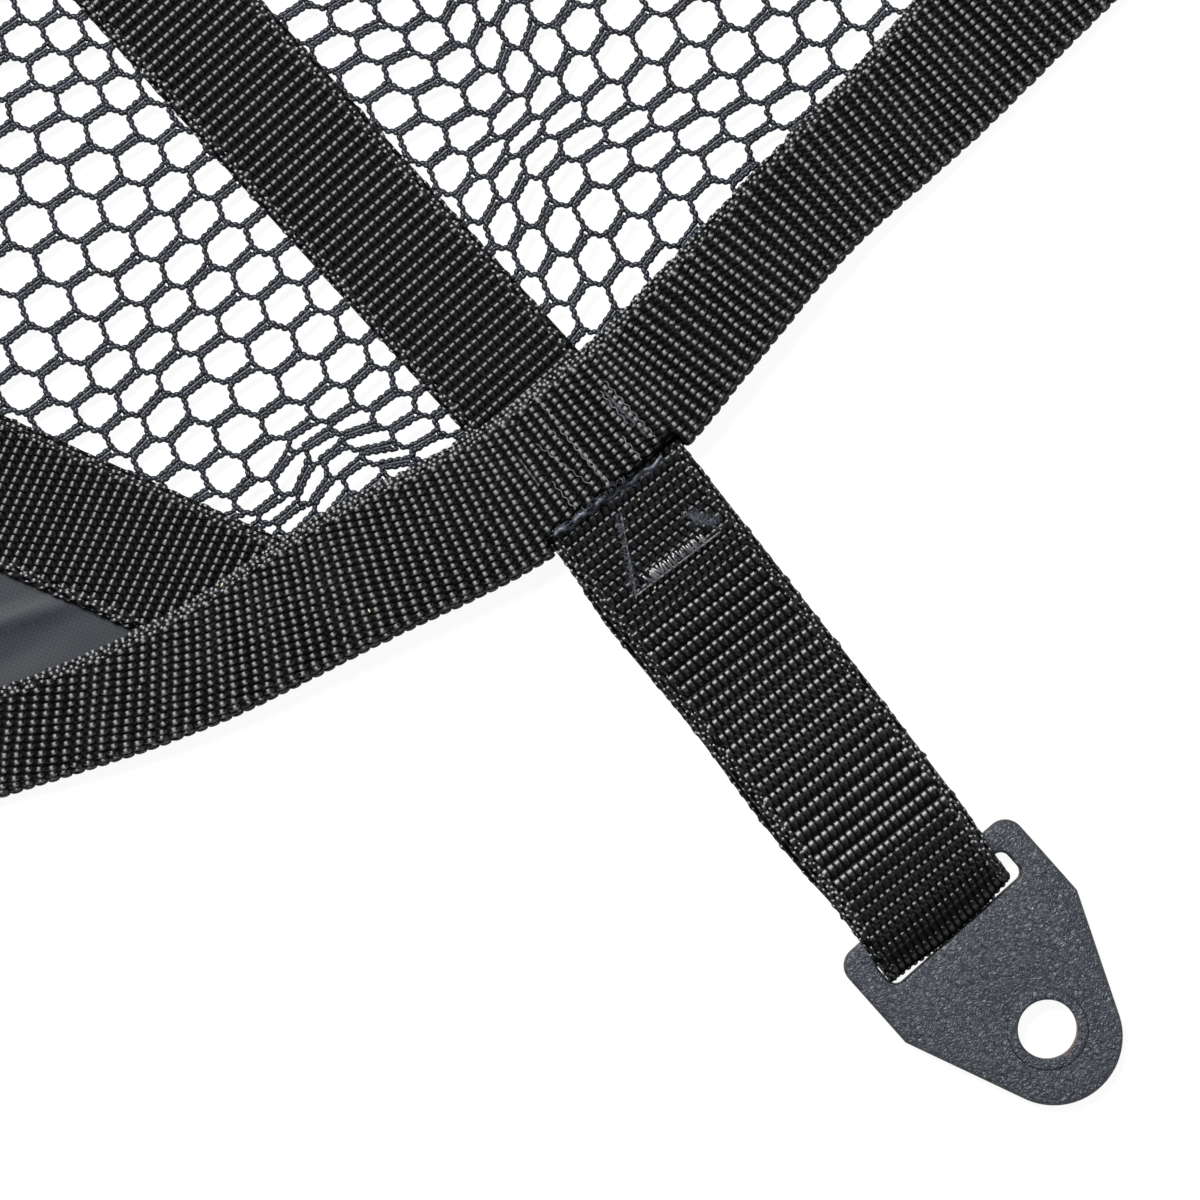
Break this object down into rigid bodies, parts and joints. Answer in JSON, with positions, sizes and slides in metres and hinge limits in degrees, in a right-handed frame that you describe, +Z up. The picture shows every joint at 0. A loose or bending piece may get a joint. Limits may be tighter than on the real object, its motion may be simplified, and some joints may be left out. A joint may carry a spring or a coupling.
{
  "type": "utility vehicle door net",
  "caption": "Mesh door net with folded webbing binding, two webbing bands, a cloth corner and looped straps that hold slotted steel bolt tabs, lying flat.",
  "frame": {"origin": "middle of the underside of the whole part, on the surface that it lies on", "axes": "+Z up off the surface, +X along the longest side, from the front strap towards the rear straps, +Y from the lower side towards the upper side"},
  "size_m": [0.8064, 0.629, 0.0066],
  "materials": {
    "binding_webbing": "wide black woven webbing, dull sheen",
    "band_webbing": "narrow black woven webbing, dull sheen",
    "strap_webbing": "black woven webbing, soft sheen",
    "knitted_mesh": "blue-black knitted polyester mesh, matte",
    "plain_cloth": "plain-woven slate blue cloth, slight sheen",
    "coated_steel": "steel in a fine wrinkled blue-grey powder coat"
  },
  "bodies": {
    "root": {"binding": "binding_webbing", "mesh_panel": "knitted_mesh", "corner_cloth": "plain_cloth", "middle_band": "band_webbing", "second_band": "band_webbing", "strap_lower": "strap_webbing", "tab_lower": "coated_steel", "strap_rear_lower": "strap_webbing", "tab_rear_lower": "coated_steel", "strap_rear_upper": "strap_webbing", "tab_rear_upper": "coated_steel", "strap_upper": "strap_webbing", "tab_upper": "coated_steel", "strap_front": "strap_webbing", "tab_front": "coated_steel"}
  },
  "joints": []
}
